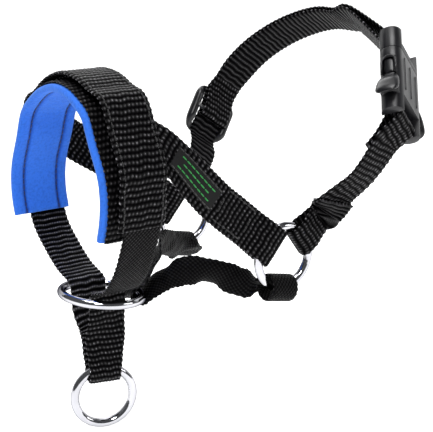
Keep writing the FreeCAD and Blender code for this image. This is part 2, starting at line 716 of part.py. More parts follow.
def stitching():
    inset = WEB_W / 2 - SEAM_INSET
    cheek = []
    for sign in (-1, 1):
        sewn = [s for s in cheek_stations(sign) if CHEEK_SEAM[0] < s[0].x < CHEEK_SEAM[1]]
        run = sewn[:CHEEK_SEAM_STATIONS]
        cheek += [seam_line(run, -sign, side * inset) for side in (-1, 1)]
        cheek += [seam_bar(run, index, -sign) for index in (0, -1)]
    band = shifted(above(loop_run(), OVERLAY_END, OVERLAY_END), lambda p: OUTWARD * outer_lift(p))
    nose = [seam_line(band[1:-1], OUTWARD, side * inset) for side in (-1, 1)]
    return {"cheek_stitching": Part.makeCompound(cheek), "nose_stitching": Part.makeCompound(nose)}


# ---------------------------------------------------------------- all nodes
def build():
    nodes = {}
    nodes.update(nose_band())
    nodes.update(rings())
    nodes["cheek_strap_left"] = ribbon(cheek_stations(-1), WEB_T)
    nodes["cheek_strap_right"] = ribbon(cheek_stations(1), WEB_T)
    nodes["label"] = label()
    nodes["chin_strap"] = chin_strap()
    nodes["neck_strap_short"] = ribbon(neck_short(), WEB_T)
    nodes["neck_strap_long"] = ribbon(neck_long(), WEB_T)
    nodes["slider"] = slider()
    nodes.update(buckle())
    nodes.update(stitching())
    return nodes


def main():
    os.makedirs("parts", exist_ok=True)
    for name, shape in build().items():
        shape.exportStep(os.path.join("parts", name + ".step"))
        print(name, "valid" if shape.isValid() else "INVALID", round(shape.Volume), shape.BoundBox)


main()
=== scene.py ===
import itertools
import json
import math

import bmesh
import bpy
import numpy as np
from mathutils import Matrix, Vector


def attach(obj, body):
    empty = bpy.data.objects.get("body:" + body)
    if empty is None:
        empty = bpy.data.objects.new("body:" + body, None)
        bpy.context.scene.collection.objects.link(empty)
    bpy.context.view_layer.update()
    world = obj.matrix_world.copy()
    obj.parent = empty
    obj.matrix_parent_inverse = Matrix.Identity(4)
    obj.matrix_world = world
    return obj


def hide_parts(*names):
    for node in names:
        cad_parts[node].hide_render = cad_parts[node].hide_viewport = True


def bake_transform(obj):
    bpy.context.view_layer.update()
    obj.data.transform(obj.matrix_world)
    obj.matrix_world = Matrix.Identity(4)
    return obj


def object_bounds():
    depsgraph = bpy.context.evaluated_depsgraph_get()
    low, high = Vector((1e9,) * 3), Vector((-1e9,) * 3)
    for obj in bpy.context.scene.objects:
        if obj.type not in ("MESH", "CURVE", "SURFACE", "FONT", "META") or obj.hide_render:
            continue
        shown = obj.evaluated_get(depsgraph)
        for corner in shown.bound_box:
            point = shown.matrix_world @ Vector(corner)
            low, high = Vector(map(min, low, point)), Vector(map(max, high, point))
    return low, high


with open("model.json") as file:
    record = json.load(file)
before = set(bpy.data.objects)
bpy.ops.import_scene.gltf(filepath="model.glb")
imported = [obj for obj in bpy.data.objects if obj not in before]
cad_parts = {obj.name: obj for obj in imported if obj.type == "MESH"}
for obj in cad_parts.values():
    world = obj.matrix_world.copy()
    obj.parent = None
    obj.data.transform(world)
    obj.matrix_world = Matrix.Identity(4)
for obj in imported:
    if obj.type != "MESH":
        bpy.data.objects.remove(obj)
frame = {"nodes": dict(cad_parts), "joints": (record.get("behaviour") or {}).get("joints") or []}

CAD_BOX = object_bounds()
MM = 0.001

WELD_MM = 0.01          # corners of the CAD faces nearer than this are one point

# ---- camera ----
CAMERA_AT = Vector((-0.3092, -0.4294, 0.1614))
CAMERA_TARGET = Vector((-0.02247, -0.01995, 0.01804))
LENS_MM, SENSOR_MM = 93.3, 36.0
FLOOR_GAP = 0.012       # from the lowest point of the object to the floor

# ---- lights: name, place, what it points at, size in metres, power in watts ----
OBJECT_MIDDLE = (-0.02, 0, 0.02)
LIGHTS = (("key", (-0.55, -0.75, 0.95), OBJECT_MIDDLE, 0.35, 7),
          ("fill", (0.75, -0.65, 0.45), OBJECT_MIDDLE, 0.4, 2.0),
          ("top", (0.0, 0.1, 1.1), OBJECT_MIDDLE, 0.8, 5),
          ("back", (0.4, 0.9, 0.7), OBJECT_MIDDLE, 0.7, 3),
          ("wall", (-0.3, -0.2, 2.4), (1.2, 1.7, 0.6), 1.6, 40))

# ---- webbing: pitches and depths of the weave, in millimetres ----
SAMPLE = 0.5            # spacing of the mesh along and across
RIB_PITCH, RIB_DEPTH = 2.7, 0.40
TICK_PITCH, TICK_LEAN = 1.9, 0.30
FINE_ROW, FINE_DASH, FINE_DEPTH = 1.05, 1.9, 0.22
EDGE_SCALLOP = 0.42
YARN_PIT_SHADE = (0.0008, 0.0007, 0.0010)     # painted shade: the colour between the yarns

MAX_DIP = 0.45          # the deepest weave, as a share of the strap's half thickness
NEAR_LEG = (-9.5, -13.0)            # the nose strap's near leg is where y is under this and z is over this
CHIN_FLAT, CHIN_TURN = 0.17, 0.06   # shares of the chin strap: flat at each end, then turning into a curl
CHIN_CURL = 1.5                     # mean angle of its curled section, in radians

# ---- padding ----
PAD_SEAMS = (6.0, 23.0)     # stitched channels, from the pad's front edge
PAD_CHANNEL = 0.8           # their depth
CHANNEL_WIDTH = 0.9         # half their width
PAD_THREAD_RISE = 0.12      # how far their thread's middle lies above their floor

# ---- thread ----
STITCH, STITCH_GAP, STITCH_R = 2.3, 0.5, 0.3
# shares of a stitch's length, and of its radius there
STITCH_SECTIONS = ((0, 0.35), (0.12, 0.85), (0.5, 1.0), (0.88, 0.85), (1, 0.35))
SEAM_INSET = 2.2             # distance of a seam from the webbing's edge
THREAD_SINK = -0.25          # how deep the seams' thread lies in the webbing

# ---- label: each bar's start and end as shares of its length, and its place across ----
LABEL_BARS = ((0.10, 0.90, 2.6), (0.10, 0.90, -2.6), (0.18, 0.82, 0.0))
LABEL_EDGE = 4.7            # distance of the edge stitches from the middle

# ---- moulded parts ----
MOULD_ROUNDING = {"buckle_socket": 0.8, "buckle_plug": 1.8}
SLIDER_RAIL = 2.0           # half width of the slider's rounded outer frame
SLIDER_CORNER = 5.6         # radius of its corners, along the frame's middle
SLIDER_BAR = (1.1, 0.55)    # half width and half thickness of its middle bar
END_RAIL = (0.85, 2.15)     # half thickness of its two end bars, and how far they lie outside its middle
SIDE_RAIL = 0.8             # half thickness of its two sides, as a share of the CAD slider's
SLIDER_SIDES = 20           # points round each of its sections
SIDE_X = 15.0               # half width of the buckle
FACE_Y = 5.2                # half thickness of the buckle
WINDOW_TOP, WINDOW_LOW, WINDOW_HALF = -5.5, -15.5, 3.1
# sections along the buckle: z, centre x, half x, half y
PRONG_SECTIONS = ((-0.5, 9.6, 1.5, 2.2), (-4.0, 10.4, 1.7, 2.6), (-6.3, 11.6, 2.0, 2.8),
                  (-7.0, 12.0, 2.4, 2.8), (-13.0, 12.0, 2.4, 2.8), (-14.2, 11.6, 2.0, 2.6),
                  (-16.2, 10.8, 1.4, 2.2), (-17.8, 10.2, 0.7, 1.4))
THUMB_SECTIONS = ((-15.9, 13.9, 0.9, 3.1), (-18.0, 14.7, 1.7, 4.3), (-21.0, 16.0, 2.6, 5.0),
                  (-24.5, 17.3, 2.5, 5.4), (-27.0, 18.5, 2.0, 5.2), (-28.5, 19.3, 1.2, 4.2),
                  (-29.2, 19.7, 0.5, 2.8))
FACE_RIBS = (-7.5, 0.0, 7.5)
FACE_RIB_ENDS = (-21.0, -3.0)


# ---------------------------------------------------------------- node materials
class Shader:
    """A principled material with short helpers for adding nodes."""

    def __init__(self, name, **settings):
        self.material = bpy.data.materials.new(name)
        self.material.use_nodes = True
        self.tree = self.material.node_tree
        self.main = self.tree.nodes["Principled BSDF"]
        for socket, value in settings.items():
            self.main.inputs[socket.replace("_", " ")].default_value = value

    def node(self, kind, inputs=(), **attributes):
        made = self.tree.nodes.new(kind)
        for key, value in attributes.items():
            setattr(made, key, value)
        for key, value in dict(inputs).items():
            self.plug(made.inputs[key], value)
        return made

    def plug(self, socket, value):
        if hasattr(value, "is_linked"):
            self.tree.links.new(value, socket)
        else:
            socket.default_value = value

    def set(self, socket, value):
        self.plug(self.main.inputs[socket], value)

    def math(self, operation, a, b=0.0):
        return self.node("ShaderNodeMath", {0: a, 1: b}, operation=operation).outputs[0]

    def ramp(self, factor, stops):
        made = self.node("ShaderNodeValToRGB", {"Fac": factor})
        elements = made.color_ramp.elements
        while len(elements) < len(stops):
            elements.new(0.5)
        for element, (place, colour) in zip(elements, stops):
            element.position, element.color = place, (*colour, 1)
        return made.outputs["Color"]

    def noise(self, scale, detail=3.0, vector=None):
        inputs = {"Scale": scale, "Detail": detail}
        if vector is not None:
            inputs["Vector"] = vector
        return self.node("ShaderNodeTexNoise", inputs).outputs["Fac"]

    def place(self):
        return self.node("ShaderNodeTexCoord").outputs["Object"]

    def attribute(self, name):
        return self.node("ShaderNodeAttribute", attribute_name=name).outputs["Fac"]

    def bump(self, height, distance, strength=1.0, below=None):
        inputs = {"Height": height, "Distance": distance, "Strength": strength}
        if below is not None:
            inputs["Normal"] = below
        return self.node("ShaderNodeBump", inputs).outputs["Normal"]


def webbing_material(name, pit_shade, crest_highlight, roughness, yarn_scale):
    """Black woven nylon: painted shade between the yarns, a painted highlight and a soft gloss on their
    crests, fine filament texture.
    """
    s = Shader(name)
    height = s.attribute("yarn")
    uv = s.node("ShaderNodeUVMap", uv_map="weave").outputs["UV"]
    stretched = s.node("ShaderNodeMapping", {"Vector": uv, "Scale": (0.35, 1.6, 1)}).outputs[0]
    streaks = s.noise(yarn_scale, 4.0, stretched)
    patches = s.noise(2.2, 2.0, uv)
    mixed = s.math("MULTIPLY", height, s.math("ADD", s.math("MULTIPLY", streaks, 0.8), 0.55))
    mixed = s.math("MULTIPLY", mixed, s.math("ADD", s.math("MULTIPLY", patches, 0.5), 0.75))
    middle = tuple(a * 0.88 + b * 0.12 for a, b in zip(pit_shade, crest_highlight))
    # the ramp paints shade into the weave's low places and a highlight onto its crests
    s.set("Base Color", s.ramp(mixed, [(0.40, pit_shade), (0.70, middle), (1.0, crest_highlight)]))
    s.set("Specular IOR Level", s.math("MULTIPLY", mixed, 0.32))
    s.set("Roughness", s.math("SUBTRACT", roughness, s.math("MULTIPLY", mixed, 0.2)))
    fine = s.bump(s.noise(yarn_scale * 2.2, 3.0, uv), 0.00022, 0.7)
    s.set("Normal", s.bump(height, 0.0004, 0.6, fine))
    return s.material


def padding_material():
    """Blue brushed laminate: short nap, slightly darker in the stitched channels and along its rear edge,
    which is painted shade.
    """
    s = Shader("blue_laminate", Specular_IOR_Level=0.2, Sheen_Weight=0.35, Sheen_Roughness=0.5,
               Sheen_Tint=(0.35, 0.6, 1.0, 1))
    depth = s.attribute("yarn")
    cloud = s.noise(900.0, 6.0, s.place())
    shade = s.math("MULTIPLY", depth, s.math("ADD", s.math("MULTIPLY", cloud, 0.9), 0.50))
    # painted shade: low stored values give the dark navy of the channels and the rear edge; the cloud adds
    # uneven tone
    s.set("Base Color", s.ramp(shade, [(0.05, (0.003, 0.016, 0.13)), (0.5, (0.012, 0.085, 0.48)),
                                       (1.0, (0.030, 0.165, 0.74))]))
    s.set("Roughness", s.math("ADD", s.math("MULTIPLY", cloud, 0.2), 0.7))
    grain = s.bump(s.noise(2600.0, 3.0, s.place()), 0.00025, 0.5)
    s.set("Normal", s.bump(s.noise(700.0, 4.0, s.place()), 0.0005, 0.6, grain))
    return s.material


def chrome_material():
    """Bright plated steel with faint smudges."""
    s = Shader("polished_plate", Metallic=1.0, Specular_Tint=(0.02, 0.02, 0.03, 1))
    smudge = s.noise(55.0, 5.0, s.place())
    s.set("Base Color", s.ramp(smudge, [(0.3, (0.50, 0.50, 0.53)), (0.7, (0.64, 0.64, 0.67))]))
    s.set("Roughness", s.math("ADD", s.math("MULTIPLY", smudge, 0.10), 0.04))
    s.set("Normal", s.bump(s.noise(420.0, 2.0, s.place()), 0.00004, 0.5))
    return s.material


def acetal_material():
    """Black moulded plastic with a soft gloss."""
    s = Shader("moulded_black", Specular_IOR_Level=0.42)
    flow = s.noise(120.0, 5.0, s.place())
    s.set("Base Color", s.ramp(flow, [(0.3, (0.004, 0.004, 0.005)), (0.7, (0.008, 0.008, 0.010))]))
    s.set("Roughness", s.math("ADD", s.math("MULTIPLY", flow, 0.12), 0.26))
    s.set("Normal", s.bump(s.noise(1800.0, 2.0, s.place()), 0.00006, 0.5))
    return s.material


def label_material():
    """Black damask with fine horizontal rows."""
    s = Shader("woven_label", Specular_IOR_Level=0.2)
    uv = s.node("ShaderNodeUVMap", uv_map="weave").outputs["UV"]
    wave = {"Vector": uv, "Scale": 8.0, "Distortion": 0.3}
    rows = s.node("ShaderNodeTexWave", wave, bands_direction="Y").outputs["Fac"]
    s.set("Base Color", s.ramp(rows, [(0.2, (0.002, 0.002, 0.002)), (0.9, (0.007, 0.007, 0.008))]))
    s.set("Roughness", s.math("ADD", s.math("MULTIPLY", rows, 0.15), 0.55))
    s.set("Normal", s.bump(rows, 0.0001, 0.6))
    return s.material


def thread_material(name, dark, light):
    """Twisted sewing thread."""
    s = Shader(name, Specular_IOR_Level=0.5, Sheen_Weight=0.1)
    twist = s.noise(3200.0, 2.0, s.place())
    s.set("Base Color", s.ramp(twist, [(0.3, dark), (0.7, light)]))
    s.set("Roughness", s.math("ADD", s.math("MULTIPLY", twist, 0.2), 0.4))
    s.set("Normal", s.bump(twist, 0.0001, 0.8))
    return s.material


def floor_material():
    """Pale matt paper, slightly lit from within so that it stays white."""
    s = Shader("pale_paper", Specular_IOR_Level=0.1, Emission_Color=(1, 1, 1, 1), Emission_Strength=0.45)
    mottle = s.noise(3.0, 2.0, s.place())
    s.set("Base Color", s.ramp(mottle, [(0.3, (0.90, 0.90, 0.90)), (0.7, (0.93, 0.93, 0.93))]))
    s.set("Roughness", s.math("ADD", s.math("MULTIPLY", mottle, 0.1), 0.85))
    return s.material


# ---------------------------------------------------------------- reading the CAD ribbons
def shells(node):
    """Each separate solid of a CAD node as (points in millimetres, triangles)."""
    welded = bmesh.new()
    welded.from_mesh(frame["nodes"][node].data)
    bmesh.ops.remove_doubles(welded, verts=welded.verts, dist=WELD_MM * MM)
    welded.verts.index_update()
    points = np.array([v.co for v in welded.verts], float) / MM
    triangles = np.array([[c.vert.index for c in loops] for loops in welded.calc_loop_triangles()])
    welded.free()
    group = np.arange(len(points))
    while True:
        new = group.copy()
        for k in range(3):
            np.minimum.at(new, triangles[:, k], group[triangles].min(axis=1))
        if (new == group).all():
            break
        group = new
    return [(points, triangles[group[triangles[:, 0]] == g]) for g in np.unique(group[triangles[:, 0]])]


def stations(cap, near):
    """The ribbon's points in steps along it from one end; each step is the set of new neighbours."""
    seen, layers = set(cap), [set(cap)]
    while True:
        fresh = set().union(*(near[p] for p in layers[-1])) - seen
        if not fresh:
            return layers
        seen |= fresh
        layers.append(fresh)


def find_end(points, triangles, near):
    """The four corner points of the ribbon's first cut end, in order round it."""
    owners = {}
    for number, corner in enumerate(triangles):
        for k in range(3):
            owners.setdefault(frozenset((corner[k], corner[(k + 1) % 3])), []).append(number)
    found = []
    for edge, pair in owners.items():
        a, c = edge
        b, d = (next(p for p in triangles[number] if p not in edge) for number in pair)
        layers = stations((a, b, c, d), near)
        if all(len(layer) == 4 for layer in layers):
            size = np.linalg.norm(points[a] - points[c])
            found.append((round(size, 3), min(a, c), (a, b, c, d)))
    return min(found)[2]


def rails(points, triangles):
    """The ribbon's four long corner lines: left front, left back, right back, right front."""
    near = {}
    for corner in triangles:
        for p in corner:
            near.setdefault(p, set()).update(q for q in corner if q != p)
    ring = list(find_end(points, triangles, near))
    first_side, second_side = (np.linalg.norm(points[ring[k]] - points[ring[k + 1]]) for k in range(2))
    if first_side > second_side:
        ring = ring[1:] + ring[:1]
    lines = [list(ring)]
    for layer in stations(ring, near)[1:]:
        choices = []
        for order in itertools.permutations(sorted(layer)):
            if all(q in near[p] for p, q in zip(lines[-1], order)):
                travel = sum(np.linalg.norm(points[p] - points[q]) for p, q in zip(lines[-1], order))
                choices.append((travel, order))
        lines.append(min(choices)[1])
    return [points[[line[k] for line in lines]] for k in range(4)]


class Ribbon:
    """Centre line of a flat strap with its direction across, facing, width and thickness, in millimetres."""

    def __init__(self, lines, face_towards=None, face_away=None):
        a, b, c, d = lines
        centre = (a + b + c + d) / 4
        along = np.concatenate([[0], np.cumsum(np.linalg.norm(np.diff(centre, axis=0), axis=1))])
        keep = np.concatenate([[True], np.diff(along) > 1e-6])
        self.marks = along[keep]
        side = ((a + b) - (c + d))[keep] / 2
        face = ((a + d) - (b + c))[keep] / 2
        self.keys = {"centre": centre[keep], "side": side, "face": face}
        self.length = self.marks[-1]
        if face_away is not None:
            self.turn_face(np.array(face_away), -1)
        if face_towards is not None:
            self.turn_face(np.array(face_towards), 1)

    def turn_face(self, point, sign):
        """Makes the front face look at a point, or away from it, on the whole."""
        looks = ((point - self.keys["centre"]) * self.keys["face"]).sum()
        if looks * sign < 0:
            self.keys["face"] = -self.keys["face"]

    def sample(self, at):
        """Centre, side unit, face unit, half width and half thickness at distances along the ribbon."""
        values = {name: hermite(self.marks, key, at) for name, key in self.keys.items()}
        width = np.linalg.norm(values["side"], axis=1)
        thick = np.linalg.norm(values["face"], axis=1)
        side = values["side"] / width[:, None]
        along = np.gradient(values["centre"], axis=0)
        along /= np.linalg.norm(along, axis=1)[:, None]
        side -= along * (side * along).sum(axis=1)[:, None]
        side /= np.linalg.norm(side, axis=1)[:, None]
        face = np.cross(along, side)
        face *= np.sign((face * values["face"]).sum(axis=1))[:, None]
        return values["centre"], side, face, width / 2, thick / 2


def hermite(marks, keys, at):
    """Cubic through the keys, with slopes that take the spacing of the marks into account."""
    steps = np.diff(marks)
    secant = np.diff(keys, axis=0) / steps[:, None]
    slope = np.empty_like(keys)
    slope[0], slope[-1] = secant[0], secant[-1]
    share = (steps[:-1] / (steps[:-1] + steps[1:]))[:, None]
    slope[1:-1] = secant[:-1] * (1 - share) + secant[1:] * share
    k = np.clip(np.searchsorted(marks, at, side="right") - 1, 0, len(steps) - 1)
    h = steps[k][:, None]
    t = ((at - marks[k]) / steps[k])[:, None]
    return ((2 * t**3 - 3 * t**2 + 1) * keys[k] + (t**3 - 2 * t**2 + t) * h * slope[k]
            + (3 * t**2 - 2 * t**3) * keys[k + 1] + (t**3 - t**2) * h * slope[k + 1])


def ribbons(node, **facing):
    """One ribbon for each separate solid of a CAD strap."""
    return [Ribbon(rails(*shell), **facing) for shell in shells(node)]


# ---------------------------------------------------------------- weaves: height from 0, deep, to 1, crest
def ridge(u, v, sharpness):
    """Weft ridges right across the webbing, a little wavy."""
    wave = u + 0.16 * np.sin(v * 0.7 + 0.5 * np.sin(u * 0.37)) + 0.10 * np.sin(u * 0.21 + v)
    return (0.5 + 0.5 * np.cos(2 * np.pi * wave / RIB_PITCH)) ** sharpness


def ribs(u, v):
    """Long narrow ribs, with the yarns just showing."""
    yarns = 0.5 + 0.5 * np.cos(2 * np.pi * (v + 0.2 * u) / 1.25)
    return ridge(u, v, 1.5) * (0.72 + 0.28 * yarns)


def soft_ribs(u, v):
    """The same ribs, worn duller."""
    return 0.72 * ribs(u, v)


def dashes(u, v):
    """Rows of short slanted ticks."""
    ticks = (0.5 + 0.5 * np.cos(2 * np.pi * (v + TICK_LEAN * u) / TICK_PITCH)) ** 1.2
    uneven = 0.9 + 0.1 * np.sin(u * 1.7 + 2.3 * np.sin(v * 0.9))
    return ridge(u, v, 1.1) * (0.30 + 0.70 * ticks) * uneven


def fine(u, v):
    """Close plain weave: small holes, every second row half a step aside."""
    holes = 0.5 + 0.5 * np.cos(np.pi * u / FINE_ROW) * np.cos(2 * np.pi * v / FINE_DASH)
    return 0.75 * holes ** 1.8


WEAVES = {"ribs": (ribs, RIB_DEPTH), "soft_ribs": (soft_ribs, RIB_DEPTH),
          "dashes": (dashes, RIB_DEPTH), "fine": (fine, FINE_DEPTH)}


# ---------------------------------------------------------------- making meshes
def new_object(name, points, faces, material, smooth=True):
    """Mesh object from points in millimetres."""
    mesh = bpy.data.meshes.new(name)
    mesh.from_pydata((np.asarray(points) * MM).tolist(), [], [list(f) for f in faces])
    mesh.update()
    if smooth:
        mesh.shade_smooth()
    mesh.materials.append(material)
    made = bpy.data.objects.new(name, mesh)
    bpy.context.scene.collection.objects.link(made)
    return made


def face_outwards(thing):
    """Makes a closed mesh's faces look out."""
    shape = bmesh.new()
    shape.from_mesh(thing.data)
    bmesh.ops.recalc_face_normals(shape, faces=shape.faces)
    shape.to_mesh(thing.data)
    shape.free()


def put_values(thing, yarn, uv):
    """Stores the weave's height at each point, or for the pad the value of its painted shade, and its place
    on the cloth in centimetres.
    """
    thing.data.attributes.new("yarn", "FLOAT", "POINT").data.foreach_set("value", yarn.astype(np.float32))
    layer = thing.data.uv_layers.new(name="weave")
    corners = np.zeros(len(thing.data.loops), np.int32)
    thing.data.loops.foreach_get("vertex_index", corners)
    layer.data.foreach_set("uv", (uv[corners] / 10).astype(np.float32).ravel())


def tube_faces(rows, ring):
    """Quads along a tube that has rows cross sections of ring points each; its ends stay open."""
    faces = []
    for i in range(rows - 1):
        for j in range(ring):
            k = (j + 1) % ring
            faces.append((i * ring + j, i * ring + k, (i + 1) * ring + k, (i + 1) * ring + j))
    return faces


def end_caps(rows, ring):
    """The two faces that close a tube's ends."""
    return [tuple(reversed(range(ring))), tuple(range((rows - 1) * ring, rows * ring))]


def joined_ends(rows, ring):
    """Quads that join a tube's last cross section to its first."""
    last = (rows - 1) * ring
    return [(last + j, last + (j + 1) % ring, (j + 1) % ring, j) for j in range(ring)]


def cross_section(columns):
    """Places across the strap and sides: front face left to right, right edge, back face, left edge."""
    x = np.linspace(-0.975, 0.975, columns)
    across = np.concatenate([x, [1.0], x[::-1], [-1.0]])
    level = np.concatenate([np.ones(columns), [0], -np.ones(columns), [0]])
    rounding = np.sqrt(1 - np.abs(np.clip(across, -0.999, 0.999)) ** 14)
    return across, level, rounding


def strap_mesh(name, ribbon, front, back, material, close_at=None, curl=None, sample=SAMPLE):
    """A woven strap. Every weave dips into the strap's thickness, so it never grows."""
    rows = max(4, int(ribbon.length / sample))
    columns = max(10, int(2 * ribbon.sample(np.array([0, ribbon.length / 2]))[3].max() / sample))
    at = np.linspace(0, ribbon.length, rows)
    centre, side, face, half, thick = ribbon.sample(at)
    across, level, rounding = cross_section(columns)
    u = at[:, None] + 0 * across[None, :]
    v = half.max() * across[None, :] + 0 * u
    weave = np.zeros_like(u)
    dip = np.zeros_like(u)
    for way, name_of in ((1, front), (-1, back)):
        pattern, depth = WEAVES[name_of]
        chosen = (level[None, :] == way) & np.ones_like(u, bool)
        height = pattern(u, v)
        if close_at is not None and way == 1:
            height = np.where(close_at(centre)[:, None], fine(u, v), height)
        weave = np.where(chosen, height, weave)
        dip = np.where(chosen, depth * (1 - height), dip)
    edge = np.abs(across)[None, :] > 0.9
    weave = np.where(level[None, :] == 0, 0.5 + 0.5 * np.cos(2 * np.pi * u / RIB_PITCH), weave)
    scallop = EDGE_SCALLOP * (0.5 - 0.5 * np.cos(2 * np.pi * u / RIB_PITCH))
    reach = across[None, :] * (half[:, None] - edge * scallop)
    lift = level[None, :] * (thick[:, None] * rounding[None, :] - np.minimum(dip, MAX_DIP * thick[:, None]))
    if curl is not None:
        reach, lift = curled(reach, lift, curl(at, ribbon.length), half.max())
    points = (centre[:, None, :] + side[:, None, :] * reach[..., None] + face[:, None, :] * lift[..., None])
    ring = len(across)
    faces = tube_faces(rows, ring) + end_faces(0, columns) + end_faces((rows - 1) * ring, columns)
    made = new_object(name, points.reshape(-1, 3), faces, material)
    put_values(made, weave.ravel(), np.stack([u.ravel(), v.ravel()], axis=1))
    face_outwards(made)
    return made


def curled(reach, lift, angle, half):
    """Bends the flat section into an arc of the given angle, which bunches the strap like a rope."""
    angle = np.maximum(angle, 0.02)[:, None]
    radius = 2 * half / angle
    turn = reach / radius
    sink = radius * (1 - np.sin(angle / 2) / (angle / 2))
    return (radius - lift) * np.sin(turn), radius - (radius - lift) * np.cos(turn) - sink


def end_faces(base, columns):
    """The cut end of a strap, closed by quads from the front face to the back and a triangle at each edge."""
    right_edge, left_edge = base + columns, base + 2 * columns + 1
    back = lambda j: base + 2 * columns - j
    faces = [(base + j, base + j + 1, back(j + 1), back(j)) for j in range(columns - 1)]
    return faces + [(base + columns - 1, right_edge, back(columns - 1)), (base, back(0), left_edge)]


# ---------------------------------------------------------------- straps
HEAD_MIDDLE = (-73.0, 4.0, 40.0)
NECK_MIDDLE = (40.0, 0.0, 55.0)
# two bodies, and the places in metres between which the webbing is meant to pass from one's motion to the
# other's; strap() reads only that they are given and attaches the strap to neither body
LONG_STRAP_BEND = ("neck", "plug", (0.062, 0.052, 0.090), (0.072, -0.020, 0.108))
CHIN_STRAP_BEND = ("halter", "chin_ring", (-0.005, 0.0, -0.012), (-0.050, 0.0, -0.014))


def strap(node, front, back, material, body="halter", blend=None, close_at=None, curl=None, **facing):
    """Weaves a CAD strap's ribbon and stands it in for the CAD node."""
    for ribbon in ribbons(node, **facing):
        made = strap_mesh(node + "_webbing", ribbon, front, back, material, close_at, curl)
        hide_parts(node)
        if blend:
            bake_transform(made)
        else:
            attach(made, body)


def bunching(at, length):
    """How far the chin strap curls up along its way: flat at its folds, bunched and uneven between them."""
    share = at / length
    middle = np.clip(np.minimum(share - CHIN_FLAT, 1 - CHIN_FLAT - share) / CHIN_TURN, 0, 1)
    return middle * (CHIN_CURL + 0.5 * np.sin(at * 0.31) + 0.3 * np.sin(at * 0.73 + 1.0))


def near_leg(centre):
    """Where the nose strap's near leg hangs, on its way to the chin ring."""
    return (centre[:, 1] < NEAR_LEG[0]) & (centre[:, 2] > NEAR_LEG[1])


def straps():
    """All the webbing apart from the band behind the pad."""
    # the crest colours are painted highlights on the yarns; the pit colour is painted shade between them
    coarse = webbing_material("coarse_webbing", YARN_PIT_SHADE, (0.36, 0.35, 0.38), 0.48, 18.0)
    close = webbing_material("close_webbing", YARN_PIT_SHADE, (0.05, 0.048, 0.054), 0.58, 26.0)
    strap("nose_strap", "dashes", "ribs", coarse, close_at=near_leg, face_away=HEAD_MIDDLE)
    strap("nose_overlay", "dashes", "ribs", coarse, face_away=HEAD_MIDDLE)
    strap("cheek_strap_left", "dashes", "ribs", coarse, face_away=(0, 0, 0))
    strap("cheek_strap_right", "dashes", "dashes", coarse, face_away=(0, 0, 0))
    strap("neck_strap_short", "dashes", "soft_ribs", coarse, body="neck", face_away=NECK_MIDDLE)
    strap("neck_strap_long", "dashes", "soft_ribs", coarse, blend=LONG_STRAP_BEND, face_away=NECK_MIDDLE)
    strap("chin_strap", "fine", "fine", close, blend=CHIN_STRAP_BEND, curl=bunching)


# ---------------------------------------------------------------- padding
def sheet_mesh(name, ribbon, material, shape, sample=0.6):
    """A thick sheet. shape(along, across, half width, length) gives its front and back as shares of the half
    thickness, and the value that its material reads."""
    rows = int(ribbon.length / sample)
    at = np.linspace(0, ribbon.length, rows)
    centre, side, face, half, thick = ribbon.sample(at)
    columns = int(2 * half.max() / sample)
    across, level, _ = cross_section(columns)
    u = at[:, None] + 0 * across[None, :]
    v = half[:, None] * across[None, :]
    front, back, value = shape(u, v, half.max(), ribbon.length)
    corner = np.sqrt(np.clip(1 - np.abs(across[None, :] * 0.999) ** 18, 0, 1))
    below = np.where(level[None, :] < 0, -back, 0)
    lift = thick[:, None] * corner * np.where(level[None, :] > 0, front, below)
    points = centre[:, None, :] + side[:, None, :] * v[..., None] + face[:, None, :] * lift[..., None]
    ring = len(across)
    faces = tube_faces(rows, ring) + end_faces(0, columns) + end_faces((rows - 1) * ring, columns)
    made = new_object(name, points.reshape(-1, 3), faces, material)
    put_values(made, value.ravel(), np.stack([u.ravel(), v.ravel()], axis=1))
    face_outwards(made)
    return made


def pad_front_sign(ribbon):
    """1 if the ribbon's side direction points to the front edge, towards the nose tip."""
    return 1 if ribbon.keys["side"][:, 0].sum() < 0 else -1


def padding():
    """The blue pad with its two sewn channels, and the thread in them."""
    ribbon = ribbons("nose_pad", face_towards=HEAD_MIDDLE)[0]
    forward = pad_front_sign(ribbon)
    blue = padding_material()
    half_thick = ribbon.sample(np.array([0, 1.0]))[4].max()

    def shape(u, v, half, length):
        from_front = half - v * forward
        channel = sum(np.exp(-((from_front - seam) / CHANNEL_WIDTH) ** 2) for seam in PAD_SEAMS)
        puff = 1 - 0.35 * (1 - np.minimum(1, np.minimum(u, length - u) / 2.5)) ** 2
        ripple = 0.04 * np.sin(u * 0.83 + 1.3 * np.sin(v * 0.4)) * np.sin(v * 0.61 + u * 0.11)
        front = puff * (1 - PAD_CHANNEL / half_thick * channel + ripple)
        # painted shade: this value darkens the pad's colour in its two channels and along its rear edge
        value = np.clip(1 - 0.75 * channel - 0.25 * (from_front > 2 * half - 0.6), 0, 1)
        return front, 0 * v + 0.98, value

    pad = sheet_mesh("nose_padding", ribbon, blue, shape)
    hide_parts("nose_pad")
    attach(pad, "halter")
    seams = seam_threads(ribbon, forward, half_thick)
    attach(seams, "halter")


def seam_threads(ribbon, forward, half_thick):
    """Dark stitches in the pad's two channels."""
    half = ribbon.sample(np.array([0, 1.0]))[3].max()
    lift = half_thick - PAD_CHANNEL + PAD_THREAD_RISE
    runs = [(ribbon, (half - seam) * forward, lift) for seam in PAD_SEAMS]
    navy = thread_material("navy_thread", (0.002, 0.008, 0.05), (0.006, 0.03, 0.16))
    return stitches("pad_seam_threads", runs, navy)


def lining():
    """The band that backs the pad: the same webbing, a little wider, so its edge shows beside the pad."""
    # its crest colour is a painted highlight, dimmer than the coarse webbing's; its pit colour is painted
    # shade
    backing = webbing_material("backing_webbing", YARN_PIT_SHADE, (0.20, 0.19, 0.21), 0.55, 18.0)
    strap("nose_pad_lining", "dashes", "ribs", backing, face_away=HEAD_MIDDLE)


